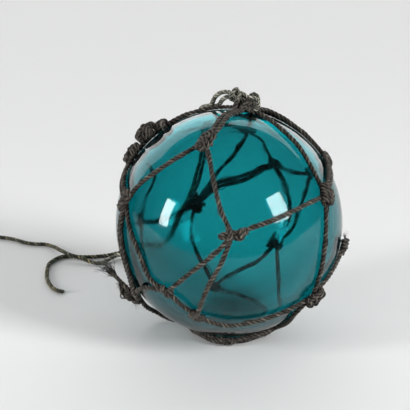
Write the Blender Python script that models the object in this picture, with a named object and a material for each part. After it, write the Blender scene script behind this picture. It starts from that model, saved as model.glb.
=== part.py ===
"""A blown glass fishing float in a knotted twine net, with a lashing on its crown and two free tails.

Metres, +Z up. The ball rests on its flat spot at the origin. -Y is the front, and a place on the ball is given by
its longitude, 0 at the front and growing towards +X, and its latitude, 90 at the top, both in degrees.
"""

import math

import bmesh
import bpy
from mathutils import Matrix, Vector

# Driving dimensions
BALL_RADIUS = 0.0635
REST_SPOT_RADIUS = 0.008
NET_CORD = 0.0028
TAIL_CORD = 0.0024
GAP = 0.0003

# Worked out from them
BALL_HEIGHT = math.sqrt(BALL_RADIUS**2 - REST_SPOT_RADIUS**2)
BALL_CENTRE = Vector((0.0, 0.0, BALL_HEIGHT))
NET_ON_GLASS = BALL_RADIUS + GAP + NET_CORD / 2
TAIL_ON_GLASS = BALL_RADIUS + GAP + TAIL_CORD / 2
FLOOR_CLEARANCE = 0.0001

# How finely round things are faceted
BALL_SEGMENTS = 36
BALL_RINGS = 24
NET_SIDES = 6
NET_STEP = 0.009
TAIL_STEP = 0.007
WELD_DISTANCE = 0.000001
END_STEP = 0.23
MM = 0.001


def direction(longitude, latitude):
    """The unit vector from the ball's centre to a place on the ball."""
    around, up = math.radians(longitude), math.radians(latitude)
    return Vector((math.sin(around) * math.cos(up), -math.cos(around) * math.cos(up), math.sin(up)))


def on_ball(longitude, latitude, lift=0.0, reach=NET_ON_GLASS):
    """A cord's centre at a place on the ball, with its lift off the glass in millimetres."""
    return BALL_CENTRE + direction(longitude, latitude) * (reach + lift * MM)


def on_floor(x, y, lift=0.0):
    """A net cord's centre where it lies on the floor, all in millimetres."""
    return Vector((x * MM, y * MM, NET_CORD / 2 + FLOOR_CLEARANCE + lift * MM))


# ---------------------------------------------------------------- materials and objects


def make_material(name, colour, roughness, metallic=0.0):
    material = bpy.data.materials.new(name)
    material.use_nodes = True
    shader = material.node_tree.nodes["Principled BSDF"]
    shader.inputs["Base Color"].default_value = (*colour, 1.0)
    shader.inputs["Roughness"].default_value = roughness
    shader.inputs["Metallic"].default_value = metallic
    return material


def add_object(name, data, material):
    data.materials.append(material)
    piece = bpy.data.objects.new(name, data)
    bpy.context.scene.collection.objects.link(piece)
    return piece


def mesh_from(shape, name):
    """Turns a bmesh into a smooth-shaded mesh."""
    mesh = bpy.data.meshes.new(name)
    shape.to_mesh(mesh)
    shape.free()
    mesh.shade_smooth()
    mesh.set_sharp_from_angle(angle=math.radians(50))
    return mesh


def join_to(piece, helper):
    """Joins a hidden helper to a piece, and welds the crumbs that the join leaves."""
    helper.hide_render = True
    helper.display_type = "WIRE"
    join = piece.modifiers.new("join", "BOOLEAN")
    join.operation = "UNION"
    join.object = helper
    join.use_self = True
    weld = piece.modifiers.new("weld", "WELD")
    weld.merge_threshold = WELD_DISTANCE


# ---------------------------------------------------------------- smooth paths


def spline_point(before, start, end, after, t):
    """One point of the smooth curve that passes through start and end."""
    return 0.5 * (
        2 * start
        + (end - before) * t
        + (2 * before - 5 * start + 4 * end - after) * t**2
        + (3 * start - before - 3 * end + after) * t**3
    )


def smooth_path(points, step):
    """Evenly spaced points on one smooth curve through the given points."""
    padded = [2 * points[0] - points[1], *points, 2 * points[-1] - points[-2]]
    fine = []
    for index in range(len(points) - 1):
        for part in range(24):
            fine.append(spline_point(*padded[index : index + 4], part / 24))
    fine.append(points[-1].copy())
    travelled = [0.0]
    for here, there in zip(fine, fine[1:]):
        travelled.append(travelled[-1] + (there - here).length)
    count = max(2, round(travelled[-1] / step))
    even, index = [], 0
    for number in range(count + 1):
        wanted = travelled[-1] * number / count
        while index < len(fine) - 2 and travelled[index + 1] < wanted:
            index += 1
        share = (wanted - travelled[index]) / max(travelled[index + 1] - travelled[index], 1e-9)
        even.append(fine[index].lerp(fine[index + 1], min(share, 1.0)))
    return even


def kept_clear(points, reach, floor):
    """Pushes points out of the glass and up off the floor."""
    clear = []
    for point in points:
        arm = point - BALL_CENTRE
        if arm.length < reach:
            point = BALL_CENTRE + arm.normalized() * reach
        clear.append(Vector((point.x, point.y, max(point.z, floor))))
    return clear


# ---------------------------------------------------------------- the glass ball


def build_glass_ball(material):
    shape = bmesh.new()
    place = Matrix.Translation(BALL_CENTRE)
    bmesh.ops.create_uvsphere(
        shape, u_segments=BALL_SEGMENTS, v_segments=BALL_RINGS, radius=BALL_RADIUS, matrix=place
    )
    bmesh.ops.bisect_plane(
        shape,
        geom=shape.verts[:] + shape.edges[:] + shape.faces[:],
        plane_co=(0, 0, 0),
        plane_no=(0, 0, -1),
        clear_outer=True,
    )
    rim = [edge for edge in shape.edges if edge.is_boundary]
    bmesh.ops.contextual_create(shape, geom=rim)
    bmesh.ops.recalc_face_normals(shape, faces=shape.faces[:])
    return add_object("glass_ball", mesh_from(shape, "glass_ball"), material)


# ---------------------------------------------------------------- the net
# Each knot: its place (longitude, latitude, lift in mm), the way its long side points (degrees from east towards
# north), and its half length, half width and half height in mm.

KNOTS = {
    "crown": ((129, 79, 0.2), 10, (7.6, 4.6, 2.1)),
    "upper": ((-25, 61, 0), 75, (7.0, 4.6, 3.4)),
    "centre": ((0.8, 14.8, 0), 8, (7.8, 3.2, 2.7)),
    "left": ((-66.4, 19, 0), 85, (6.8, 3.6, 2.7)),
    "right": ((60, 24, 0), 60, (6.4, 5.0, 3.4)),
    "lower": ((-19, -32, 0), -40, (3.8, 3.0, 2.5)),
    "lower_right": ((52, -27, 0.4), 35, (6.6, 4.8, 3.4)),
    "right_shoulder": ((97, 34, 0.2), -70, (4.4, 3.4, 2.4)),
    "right_limb": ((80, -9, 0), 80, (5.4, 3.4, 2.3)),
    "left_shoulder_high": ((-111, 51, 1.0), 70, (5.8, 4.0, 2.8)),
    "left_shoulder": ((-106.5, 45.3, 2.5), 75, (5.8, 4.2, 4.0)),
    "left_shoulder_low": ((-102, 33.5, 0.3), 85, (6.2, 4.4, 3.6)),
    "left_low": ((-85, -40.4, 2.4), 60, (4.6, 3.8, 3.0)),
    "left_crossing": ((-33, -18, 0), -30, (3.8, 2.6, 2.2)),
    "back_top": ((166, 42.5, 0), 0, (6.4, 4.2, 3.0)),
    "back_left": ((-161, -10, 0), 60, (7.0, 5.6, 3.4)),
    "back_middle": ((153, 16, 0), 10, (5.0, 4.0, 2.8)),
    "back_right": ((124, 18, 0), -20, (4.4, 3.8, 2.8)),
    "back_low_right": ((148.5, -29.5, 0), 30, (6.0, 5.0, 3.2)),
    "back_low": ((-163, -60, 0), 60, (4.6, 4.0, 2.8)),
    "far_left": ((-118, -10, 0), 70, (5.0, 4.2, 3.0)),
}

# A frayed end stands out of the left low knot: the place where it stops.
LOOSE_END = (-95, -23, 11.0)

# The bottom knot lies on the floor in front of the resting place: its centre and its half sizes in mm.
BOTTOM_KNOT = ((-1.0, -27.0, 2.3), (6.6, 3.0, 2.0))


def knot_place(name, step):
    """Where a cord ends in a knot. Each cord ends at a height of its own there, so no two ridges meet in a point."""
    rise = END_STEP * (step % 5)
    if name == "bottom":
        x, y, z = BOTTOM_KNOT[0]
        return Vector((x, y, z - rise)) * MM
    if name == "left_low_end":
        return on_ball(*LOOSE_END)
    (longitude, latitude, lift), _, _ = KNOTS[name]
    return on_ball(longitude, latitude, lift + rise)


def net_runs():
    """The net's cords: the knots they join, the places they pass in between, and whether two cords run together."""
    return [
        ("crown", "upper", [on_ball(100, 87), on_ball(-20, 83), on_ball(-20, 75), on_ball(-22, 68)], True),
        ("upper", "centre", [on_ball(-15, 50), on_ball(-10, 39), on_ball(-5, 26)], False),
        ("upper", "left", [on_ball(-38, 52), on_ball(-50, 41), on_ball(-61, 29)], False),
        ("centre", "right", [on_ball(12, 18), on_ball(25, 21), on_ball(44, 24)], False),
        ("centre", "left_crossing", [on_ball(-7, 6), on_ball(-19, -5)], False),
        ("centre", "lower", [on_ball(-4, 2), on_ball(-11, -12)], False),
        ("left", "left_crossing", [on_ball(-59, 10), on_ball(-49, -2), on_ball(-43, -14)], False),
        ("left_crossing", "lower", [on_ball(-26, -24, 1.4)], False),
        ("left", "left_low", [on_ball(-68, 6), on_ball(-65, -6), on_ball(-64, -19), on_ball(-70, -32.5, 1.6)], True),
        ("left_low", "left_crossing", [on_ball(-59, -26, 0.6), on_ball(-47, -20, 0.3)], False),
        ("right", "crown", [on_ball(61, 38), on_ball(66, 51), on_ball(74, 64), on_ball(100, 74)], False),
        ("right", "right_shoulder", [on_ball(71, 28), on_ball(83, 31)], True),
        (
            "right_shoulder",
            "crown",
            [
                on_ball(102, 40, 0.3),
                on_ball(109, 50, 0.5),
                on_ball(118, 59, 1.0),
                on_ball(130, 67, 1.6),
            ],
            True,
        ),
        ("right", "lower_right", [on_ball(55, 12), on_ball(52, -1), on_ball(51, -16)], False),
        ("lower_right", "lower", [on_ball(36, -31, 0.4), on_ball(18, -35, 0.8), on_ball(0, -37, 1.5), on_ball(-12, -34, 1.5)], False),
        ("lower_right", "right_limb", [on_ball(58, -22.5), on_ball(63, -19.5), on_ball(69, -16), on_ball(75, -13)], False),
        (
            "lower_right",
            "bottom",
            [
                on_ball(45, -38),
                on_ball(51, -51),
                on_ball(59, -62, 0.5),
                on_floor(20.5, -15.0),
                on_floor(14.5, -20.0),
                on_floor(8.0, -24.5),
            ],
            False,
        ),
        ("bottom", "back_low_right", [on_ball(40, -64), on_ball(80, -61), on_ball(115, -57), on_ball(136, -46)], False),
        (
            "crown",
            "left_shoulder_low",
            [
                on_ball(-175, 76),
                on_ball(-141, 69),
                on_ball(-122, 60),
                on_ball(-111.5, 51),
                on_ball(-109, 47),
                on_ball(-106, 41),
            ],
            False,
        ),
        ("left_shoulder_low", "left", [on_ball(-93, 27), on_ball(-80, 23)], True),
        ("crown", "back_top", [on_ball(150, 66)], False),
        ("back_top", "left_shoulder_high", [on_ball(180, 49), on_ball(-160, 51), on_ball(-137, 50)], False),
        ("back_top", "back_middle", [on_ball(158, 35), on_ball(156, 26)], False),
        ("back_top", "back_left", [on_ball(170, 32), on_ball(178, 19), on_ball(-172, 5)], False),
        ("back_left", "back_middle", [on_ball(-173, 0), on_ball(173, 4), on_ball(160, 12)], True),
        ("back_middle", "back_right", [on_ball(144, 14), on_ball(135, 15)], False),
        ("back_right", "right_shoulder", [on_ball(114, 22), on_ball(105, 28)], False),
        ("back_middle", "back_low_right", [on_ball(146, 3), on_ball(143, -8), on_ball(144, -20)], False),
        ("back_right", "back_low_right", [on_ball(130, 6), on_ball(136, -8), on_ball(139, -20)], False),
        ("back_low_right", "back_low", [on_ball(155, -39), on_ball(170, -48), on_ball(-177, -54)], False),
        ("back_left", "back_low", [on_ball(-157, -20), on_ball(-156, -34), on_ball(-160, -46)], False),
        ("back_left", "far_left", [on_ball(-142, -14), on_ball(-129, -14)], False),
        ("far_left", "left_shoulder_low", [on_ball(-125, 1), on_ball(-131, 12), on_ball(-119, 25)], False),
        ("far_left", "left_low", [on_ball(-112, -22), on_ball(-100, -34, 0.6)], False),
        ("left_low", "left_low_end", [on_ball(-84, -33, 4.0)], False),
        ("back_low", "bottom", [on_ball(150, -68), on_ball(95, -69), on_ball(40, -69)], False),
    ]


def slack_cord_route():
    """The slack cord under the ball: it stops just clear of the bottom knot and of the left low knot."""
    return [
        on_floor(-8.8, -24.2),
        on_floor(-14.8, -17.6),
        on_floor(-20.2, -9.8),
        on_floor(-23.8, -2.2),
        on_floor(-27.8, 2.8),
        on_floor(-32.8, 4.6),
        on_floor(-38.5, 8.2, 1.5),
        on_floor(-44.5, 5.6, 5.9),
        on_floor(-47.8, 2.2, 9.9),
    ]


def add_tube(shape, path, half_width, half_height, sides):
    """Adds a closed tube along a path, its width lying along the ball and its height pointing off it."""
    rings = []
    for index, point in enumerate(path):
        ahead = path[min(index + 1, len(path) - 1)] - path[max(index - 1, 0)]
        outward = (point - BALL_CENTRE).normalized()
        across = ahead.cross(outward).normalized()
        outward = across.cross(ahead).normalized()
        ring = []
        for side in range(sides):
            angle = math.tau * (side + 0.5) / sides
            offset = across * math.cos(angle) * half_width + outward * math.sin(angle) * half_height
            ring.append(shape.verts.new(point + offset))
        rings.append(ring)
    for ring, following in zip(rings, rings[1:]):
        for side in range(sides):
            after = (side + 1) % sides
            shape.faces.new((ring[side], following[side], following[after], ring[after]))
    shape.faces.new(rings[0])
    shape.faces.new(reversed(rings[-1]))


def add_lump(shape, centre, length_way, outward, half_sizes):
    """Adds an egg-shaped lump: its long side along length_way, its short side along outward."""
    across = outward.cross(length_way).normalized()
    length_way = across.cross(outward).normalized()
    half_length, half_width, half_height = (size * MM for size in half_sizes)
    turn = Matrix((length_way, across, outward)).transposed().to_4x4()
    size = Matrix.Diagonal((half_length, half_width, half_height, 1.0))
    bmesh.ops.create_icosphere(shape, subdivisions=2, radius=1.0, matrix=Matrix.Translation(centre) @ turn @ size)


def add_net_knot(shape, name):
    (longitude, latitude, lift), turn, half_sizes = KNOTS[name]
    outward = direction(longitude, latitude)
    east = Vector((0, 0, 1)).cross(outward).normalized()
    north = outward.cross(east)
    length_way = east * math.cos(math.radians(turn)) + north * math.sin(math.radians(turn))
    reach = BALL_RADIUS + GAP + (lift + half_sizes[2]) * MM
    add_lump(shape, BALL_CENTRE + outward * reach, length_way, outward, half_sizes)


def build_net(material):
    """The whole net as one body: its knots and cords in one mesh, joined where they cross."""
    shape = bmesh.new()
    for number, (start, end, between, doubled) in enumerate(net_runs()):
        path = smooth_path([knot_place(start, number), *between, knot_place(end, number + 2)], NET_STEP)
        path = kept_clear(path, NET_ON_GLASS, NET_CORD / 2 + FLOOR_CLEARANCE)
        half_width = NET_CORD * (0.98 if doubled else 0.5)
        add_tube(shape, path, half_width, NET_CORD / 2, NET_SIDES)
    for name in KNOTS:
        add_net_knot(shape, name)
    bmesh.ops.recalc_face_normals(shape, faces=shape.faces[:])
    net = add_object("net", mesh_from(shape, "net"), material)

    centre, half_sizes = BOTTOM_KNOT
    lump = bmesh.new()
    add_lump(lump, Vector(centre) * MM, Vector((1, 0, 0)), Vector((0, 0, 1)), half_sizes)
    bottom_knot = add_object("net_bottom_knot_helper", mesh_from(lump, "net_bottom_knot"), material)
    join_to(net, bottom_knot)
    return net


def build_slack_cord(material):
    """The cord that hangs slack from the net: a simple solid of its own, so that the gap above it stays open."""
    path = smooth_path(slack_cord_route(), NET_STEP / 2)
    path = kept_clear(path, NET_ON_GLASS, NET_CORD / 2 + FLOOR_CLEARANCE)
    shape = bmesh.new()
    add_tube(shape, path, NET_CORD / 2, NET_CORD / 2, NET_SIDES)
    bmesh.ops.recalc_face_normals(shape, faces=shape.faces[:])
    return add_object("net_slack_cord", mesh_from(shape, "net_slack_cord"), material)


# ---------------------------------------------------------------- the lashing on the crown
# Its three lumps: centre, half length along X, half depth along Y and half height, in mm.

LASHING_LUMPS = [
    ((4.0, 11.0, 134.9), (3.3, 3.8, 3.9)),
    ((9.4, 10.0, 134.0), (4.2, 3.4, 3.0)),
    ((13.8, 9.0, 133.4), (3.4, 4.2, 3.8)),
]


def build_crown_lashing(material):
    lumps = []
    for centre, half_sizes in LASHING_LUMPS:
        shape = bmesh.new()
        add_lump(shape, Vector(centre) * MM, Vector((1, 0, 0)), Vector((0, 0, 1)), half_sizes)
        name = "crown_lashing" if not lumps else f"crown_lashing_helper_{len(lumps)}"
        lumps.append(add_object(name, mesh_from(shape, name), material))
    for helper in lumps[1:]:
        join_to(lumps[0], helper)
    return lumps[0]


# ---------------------------------------------------------------- the two tails and the coil
# Their routes in mm: out of the lashing, over the back of the ball, down to the floor and along it.

LONG_TAIL_ROUTE = [
    (0.2, 12.0, 135.4),
    (-3.9, 14.0, 134.8),
    (-7.7, 17.2, 131.3),
    (-10.3, 22.5, 124.8),
    (-15.9, 37.8, 117.9),
    (-16.6, 49.0, 103.6),
    (-16.8, 59.8, 88.4),
    (-18.9, 63.6, 78.0),
    (-20.9, 66.0, 69.0),
    (-23.4, 67.6, 60.4),
    (-27.6, 69.6, 50.4),
    (-33.4, 72.6, 40.2),
    (-37.0, 77.2, 29.5),
    (-42.0, 83.6, 18.4),
    (-49.2, 90.2, 9.6),
    (-58.5, 97.0, 5.6),
    (-66.6, 100.6, 3.6),
    (-71.5, 98.9, 2.4),
    (-75.7, 94.4, 1.5),
    (-80.2, 92.6, 1.3),
    (-84.3, 93.5, 1.6),
    (-88.5, 96.1, 2.3),
    (-93.0, 98.3, 3.1),
    (-97.5, 99.8, 3.9),
    (-101.4, 103.2, 4.3),
    (-105.8, 110.8, 3.3),
    (-110.3, 119.6, 1.9),
    (-115.2, 124.4, 1.3),
    (-121.3, 125.0, 1.3),
    (-128.6, 127.8, 1.3),
    (-137.0, 134.0, 1.3),
    (-146.0, 137.0, 1.3),
    (-156.0, 135.6, 1.3),
    (-166.0, 133.4, 1.3),
    (-174.0, 132.8, 1.3),
]

SHORT_TAIL_ROUTE = [
    (0.2, 13.0, 132.4),
    (-1.5, 15.0, 131.7),
    (-3.8, 18.6, 129.0),
    (-6.2, 23.8, 124.3),
    (-13.2, 39.4, 117.5),
    (-13.9, 50.6, 103.0),
    (-14.1, 61.4, 88.0),
    (-16.2, 65.2, 77.8),
    (-18.2, 67.6, 68.8),
    (-20.8, 69.4, 60.2),
    (-25.2, 71.6, 50.2),
    (-31.2, 75.0, 40.0),
    (-35.2, 79.8, 29.4),
    (-40.4, 86.2, 18.4),
    (-48.0, 92.8, 9.8),
    (-57.0, 100.4, 5.8),
    (-66.0, 105.0, 3.4),
    (-75.0, 105.0, 1.3),
    (-82.0, 103.2, 1.3),
    (-90.5, 102.6, 1.3),
    (-98.2, 104.0, 1.3),
    (-103.6, 102.6, 1.3),
    (-107.6, 97.0, 1.3),
    (-110.2, 90.0, 1.3),
    (-110.4, 78.0, 1.3),
    (-109.2, 66.0, 1.3),
    (-106.0, 55.2, 1.3),
    (-101.8, 48.8, 1.3),
    (-97.6, 46.6, 1.3),
]

COIL_CENTRE = Vector((-0.176, 0.150, 0.0))
COIL_MIDDLE_RADIUS = 0.01325
COIL_SEGMENTS = 28
END_KNOT = ((-187.0, 168.8, 2.6), (4.4, 3.0, 2.4))


def build_tail(name, route, material):
    """A round cord along its route, as a curve with a bevel."""
    path = smooth_path([Vector(point) * MM for point in route], TAIL_STEP)
    path = kept_clear(path, TAIL_ON_GLASS, TAIL_CORD / 2 + FLOOR_CLEARANCE)
    curve = bpy.data.curves.new(name, "CURVE")
    curve.dimensions = "3D"
    curve.bevel_depth = TAIL_CORD / 2
    curve.bevel_resolution = 2
    curve.use_fill_caps = True
    spline = curve.splines.new("POLY")
    spline.points.add(len(path) - 1)
    for spot, point in zip(spline.points, path):
        spot.co = (*point, 1.0)
    return add_object(name, curve, material)


def build_tail_coil(material):
    """A ring turned round the three turns: two side by side on the floor and one on top, in between."""
    half_width = TAIL_CORD
    shoulder = 1.15 * TAIL_CORD
    top = TAIL_CORD * (1 + math.sqrt(3) / 2) + FLOOR_CLEARANCE
    outline = [
        (-0.72 * half_width, FLOOR_CLEARANCE),
        (0.72 * half_width, FLOOR_CLEARANCE),
        (half_width, 0.3 * TAIL_CORD),
        (half_width, 0.75 * TAIL_CORD),
        (0.75 * half_width, shoulder),
        (0.3 * half_width, top),
        (-0.3 * half_width, top),
        (-0.75 * half_width, shoulder),
        (-half_width, 0.75 * TAIL_CORD),
        (-half_width, 0.3 * TAIL_CORD),
    ]
    shape = bmesh.new()
    corners = [
        shape.verts.new(COIL_CENTRE + Vector((COIL_MIDDLE_RADIUS + aside, 0.0, height)))
        for aside, height in outline
    ]
    edges = [shape.edges.new((here, there)) for here, there in zip(corners, corners[1:] + corners[:1])]
    bmesh.ops.spin(
        shape,
        geom=edges,
        cent=COIL_CENTRE,
        axis=(0, 0, 1),
        angle=math.tau,
        steps=COIL_SEGMENTS,
        use_merge=True,
    )
    bmesh.ops.recalc_face_normals(shape, faces=shape.faces[:])
    return add_object("tail_coil", mesh_from(shape, "tail_coil"), material)


def build_tail_end_knot(material):
    centre, half_sizes = END_KNOT
    shape = bmesh.new()
    add_lump(shape, Vector(centre) * MM, Vector((-1, 1, 0)).normalized(), Vector((0, 0, 1)), half_sizes)
    return add_object("tail_end_knot", mesh_from(shape, "tail_end_knot"), material)


def main():
    for piece in list(bpy.data.objects):
        bpy.data.objects.remove(piece)
    glass = make_material("teal_glass", (0.01, 0.14, 0.16), 0.05)
    tarred_twine = make_material("tarred_twine", (0.045, 0.038, 0.032), 0.85)
    lashing_twine = make_material("lashing_twine", (0.20, 0.19, 0.14), 0.85)
    build_glass_ball(glass)
    build_net(tarred_twine)
    build_slack_cord(tarred_twine)
    build_crown_lashing(lashing_twine)
    build_tail("long_tail", LONG_TAIL_ROUTE, lashing_twine)
    build_tail("short_tail", SHORT_TAIL_ROUTE, lashing_twine)
    build_tail_coil(lashing_twine)
    build_tail_end_knot(lashing_twine)


main()
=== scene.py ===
"""The looks of a blown glass fishing float in a knotted twine net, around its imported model.

Metres, +Z up, in the model's own frame. -Y is the front. A place on the ball is given by its longitude,
0 at the front and growing towards +X, and its latitude, 90 at the top, both in degrees.
"""

import math
import random
from itertools import product

import bpy
import numpy as np
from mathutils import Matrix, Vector


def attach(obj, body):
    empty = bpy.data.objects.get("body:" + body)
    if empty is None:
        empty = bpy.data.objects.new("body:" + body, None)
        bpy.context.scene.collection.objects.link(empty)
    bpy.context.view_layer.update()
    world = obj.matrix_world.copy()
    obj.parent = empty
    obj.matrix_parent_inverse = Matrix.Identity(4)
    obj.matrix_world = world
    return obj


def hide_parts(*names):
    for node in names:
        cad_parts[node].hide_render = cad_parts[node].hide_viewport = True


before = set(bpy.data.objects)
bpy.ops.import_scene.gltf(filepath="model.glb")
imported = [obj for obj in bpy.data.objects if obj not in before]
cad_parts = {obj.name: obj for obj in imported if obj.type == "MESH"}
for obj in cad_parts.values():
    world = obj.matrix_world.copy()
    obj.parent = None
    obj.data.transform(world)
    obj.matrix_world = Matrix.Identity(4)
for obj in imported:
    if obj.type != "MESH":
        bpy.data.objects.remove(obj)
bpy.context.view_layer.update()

MM = 0.001
BALL_RADIUS = 0.0635
REST_SPOT_RADIUS = 0.008
NET_CORD = 0.0028
TAIL_CORD = 0.0024
TAIL_TWINE = 1.10 * TAIL_CORD
GAP = 0.0001
PRESSED = 0.0003
FLOOR_CLEARANCE = 0.0001
PRESSED_TO_FLOOR = 0.00004
YARN_CLEARANCE = 0.0004
BALL_CENTRE = np.array((0.0, 0.0, math.sqrt(BALL_RADIUS**2 - REST_SPOT_RADIUS**2)))
NET_ON_GLASS = BALL_RADIUS + GAP - PRESSED + NET_CORD / 2
TAIL_ON_GLASS = BALL_RADIUS + GAP + TAIL_CORD / 2
NET_ON_FLOOR = NET_CORD / 2 + FLOOR_CLEARANCE
TAIL_ON_FLOOR = TAIL_CORD / 2 + FLOOR_CLEARANCE

# Three-strand twine: its pitch is in diameters, and its grooves go down to a share of its radius
STRANDS = 3
SIDES = 15
RING_STEP = 0.00055
TWIST_PITCH = 2.8
GROOVE = 0.54
LOBE_POWER = 0.60

# The crown's twine is bleached, above this height and over this distance
BLEACH_FROM = 0.100
BLEACH_OVER = 0.030

# So is a stretch of the long tail by the ball, this far from its middle, and it fades towards its ends
LONG_TAIL_PALE_AT = np.array((-0.0735, 0.0965, 0.0020))
PALE_REACH = 0.0115
PALE_FADE = 0.004

# Twine whose middle lies nearer the front than this is in the net's front mesh
FRONT_DEPTH = 0.012

chance = random.Random(11)


# -------- places and paths


def direction(longitude, latitude):
    around, up = math.radians(longitude), math.radians(latitude)
    return np.array((math.sin(around) * math.cos(up), -math.cos(around) * math.cos(up), math.sin(up)))


def on_ball(longitude, latitude, lift=0.0, reach=NET_ON_GLASS):
    return BALL_CENTRE + direction(longitude, latitude) * (reach + lift * MM)


def on_floor(x, y, lift=0.0):
    return np.array((x * MM, y * MM, NET_ON_FLOOR + lift * MM))


def unit(vector):
    return np.asarray(vector, float) / max(np.linalg.norm(vector), 1e-12)


def travelled_along(path):
    return np.concatenate([[0.0], np.cumsum(np.linalg.norm(np.diff(path, axis=0), axis=1))])


def length_of(path):
    return float(travelled_along(path)[-1])


def smooth_path(points, step=RING_STEP):
    """Evenly spaced points on one smooth curve through the given points."""
    points = np.array(points, float)
    padded = np.array([2 * points[0] - points[1], *points, 2 * points[-1] - points[-2]])
    t = np.arange(24)[:, None] / 24
    fine = []
    for before, start, end, after in zip(padded, padded[1:], padded[2:], padded[3:]):
        bend = (2 * before - 5 * start + 4 * end - after) * t**2
        twist = (3 * start - before - 3 * end + after) * t**3
        fine.append(0.5 * (2 * start + (end - before) * t + bend + twist))
    fine = np.vstack([*fine, points[-1][None]])
    travelled = travelled_along(fine)
    count = max(3, round(travelled[-1] / step))
    wanted = np.linspace(0, travelled[-1], count + 1)
    return np.column_stack([np.interp(wanted, travelled, fine[:, axis]) for axis in range(3)])


def path_in_mm(spots, step=RING_STEP):
    return smooth_path(np.array(spots, float) * MM, step)


def kept_clear(points, reach, floor):
    """Pushes a path, or rings of points, out of the glass and up off the floor."""
    arms = points - BALL_CENTRE
    lengths = np.linalg.norm(arms, axis=-1, keepdims=True)
    points = BALL_CENTRE + arms * np.maximum(1.0, reach / lengths)
    points[..., 2] = np.maximum(points[..., 2], floor)
    return points


def pressed_flat(points):
    """Soft twine gives where it lies against the glass or the floor."""
    return kept_clear(points, BALL_RADIUS + GAP, PRESSED_TO_FLOOR)


def frames_along(path):
    """The way ahead and two ways across at each point of a path, without any twist of their own."""
    ahead = np.gradient(path, axis=0)
    ahead /= np.linalg.norm(ahead, axis=1, keepdims=True)
    start = np.array((0.0, 0.0, 1.0)) if abs(ahead[0][2]) < 0.9 else np.array((1.0, 0.0, 0.0))
    across = [unit(np.cross(ahead[0], start))]
    for way in ahead[1:]:
        across.append(unit(across[-1] - way * np.dot(way, across[-1])))
    across = np.array(across)
    return ahead, across, np.cross(ahead, across)


def rings_round(path, arm, angle):
    """Rings of points round a path, arm away from it."""
    _, across, other = frames_along(path)
    sideways = across[:, None] * (arm * np.cos(angle))[..., None]
    return path[:, None] + sideways + other[:, None] * (arm * np.sin(angle))[..., None]


def swell(path, power=1.0):
    """From 0 at a path's ends to 1 at its middle."""
    return (np.sin(np.linspace(0, math.pi, len(path))) ** power)[:, None]


# -------- meshes


def in_scene(name, data):
    piece = bpy.data.objects.new(name, data)
    bpy.context.scene.collection.objects.link(piece)
    return piece


def mesh_piece(name, points, faces, material, smooth=True):
    mesh = bpy.data.meshes.new(name)
    mesh.from_pydata(points, [], faces)
    if smooth:
        mesh.shade_smooth()
    mesh.materials.append(material)
    return in_scene(name, mesh)


class Shape:
    """Collects tubes into one mesh, with a place along and around each tube, and its tones."""

    def __init__(self):
        self.points, self.faces, self.along, self.tones = [], [], [], []
        self.count = 0

    def add_rings(self, rings, travelled, tones, turned=0.0):
        """A closed tube: rings is (rings, sides, 3), and tones holds four numbers for each point."""
        number, sides = rings.shape[:2]
        self.points.append(rings.reshape(-1, 3))
        self.tones.append(tones.reshape(-1, 4))
        index = self.count + np.arange(number * sides).reshape(number, sides)
        here, there = index[:-1], index[1:]
        quads = np.stack([here, np.roll(here, -1, 1), np.roll(there, -1, 1), there], axis=-1).reshape(-1, 4)
        u = np.broadcast_to(travelled[:, None] / 0.01, (number, sides))
        v = np.arange(sides)[None] / sides + np.zeros((number, 1)) + np.reshape(turned, (-1, 1))
        near, far = v[:-1], v[1:]
        more = 1.0 / sides
        places = np.stack([u[:-1], near, u[:-1], near + more, u[1:], far + more, u[1:], far], axis=-1)
        self.faces.extend(quads.tolist())
        self.along.append(places.reshape(-1, 2))
        for cap in (index[0][::-1], index[-1]):
            self.faces.append(cap.tolist())
            self.along.append(np.zeros((sides, 2)))
        self.count += number * sides

    def build(self, name, material):
        piece = mesh_piece(name, np.vstack(self.points).tolist(), self.faces, material)
        uv = piece.data.uv_layers.new(name="along")
        uv.data.foreach_set("uv", np.vstack(self.along).astype(np.float32).ravel())
        tone = piece.data.attributes.new("tones", "FLOAT_COLOR", "POINT")
        tone.data.foreach_set("color", np.vstack(self.tones).astype(np.float32).ravel())
        return piece


def wander(number, step, size, reach):
    """Slow random drift: number values, changing over about reach metres."""
    knots = max(3, int(number * step / reach) + 3)
    values = [chance.uniform(-size, size) for _ in range(knots)]
    return np.interp(np.linspace(0, knots - 1, number), np.arange(knots), values)


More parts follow.
